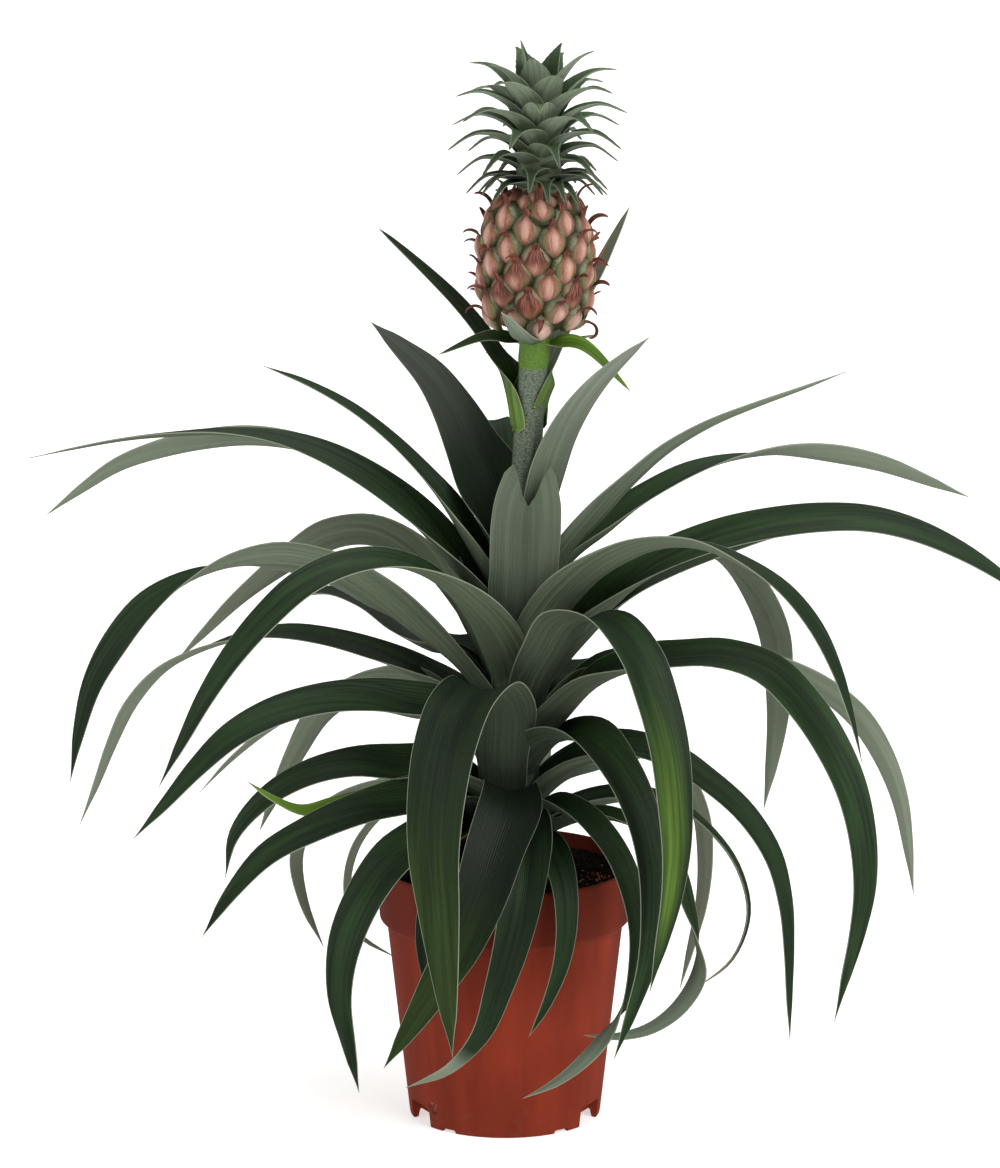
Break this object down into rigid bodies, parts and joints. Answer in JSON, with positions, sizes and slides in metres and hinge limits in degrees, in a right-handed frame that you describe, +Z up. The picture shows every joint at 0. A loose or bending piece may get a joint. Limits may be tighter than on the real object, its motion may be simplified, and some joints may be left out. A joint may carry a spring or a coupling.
{
  "type": "potted pineapple plant",
  "caption": "Young pineapple plant in a round nursery pot, with arching strap leaves, a stalk, and a small fruit under a leafy crown.",
  "frame": {"origin": "centre of the pot's underside, on the surface that it stands on", "axes": "+X to the plant's right as seen from its front, +Y away from its front, +Z up"},
  "size_m": [0.4678, 0.2637, 0.5111],
  "materials": {
    "pot": "satin terracotta-coloured plastic",
    "soil": "moist peat potting mix",
    "stem": "scurfy grey-green stalk",
    "fruit": "salmon bracts over green eyes",
    "crown": "grey-green leaves",
    "leaf": "dark green upper side, grey-green underside"
  },
  "bodies": {
    "root": {"pot": "pot", "soil": "soil", "stem": "stem", "fruit": "fruit", "crown": "crown", "leaf_heart_front": "leaf", "leaf_heart_left": "leaf", "leaf_heart_right": "leaf", "leaf_heart_back": "leaf", "leaf_stalk_left": "leaf", "leaf_stalk_right": "leaf", "leaf_01": "leaf", "leaf_02": "leaf", "leaf_03": "leaf", "leaf_04": "leaf", "leaf_05": "leaf", "leaf_06": "leaf", "leaf_07": "leaf", "leaf_08": "leaf", "leaf_09": "leaf", "leaf_10": "leaf", "leaf_11": "leaf", "leaf_12": "leaf", "leaf_13": "leaf", "leaf_14": "leaf", "leaf_15": "leaf", "leaf_16": "leaf", "leaf_17": "leaf", "leaf_18": "leaf", "leaf_19": "leaf", "leaf_20": "leaf", "leaf_21": "leaf", "leaf_22": "leaf", "leaf_23": "leaf", "leaf_24": "leaf", "leaf_25": "leaf", "leaf_26": "leaf", "leaf_27": "leaf", "leaf_28": "leaf", "leaf_29": "leaf", "leaf_30": "leaf", "leaf_31": "leaf", "leaf_32": "leaf", "leaf_33": "leaf", "leaf_34": "leaf", "leaf_35": "leaf", "leaf_36": "leaf", "leaf_37": "leaf", "leaf_38": "leaf", "leaf_39": "leaf", "leaf_40": "leaf", "leaf_41": "leaf", "leaf_42": "leaf", "leaf_43": "leaf", "leaf_44": "leaf", "leaf_45": "leaf", "leaf_46": "leaf"}
  },
  "joints": []
}
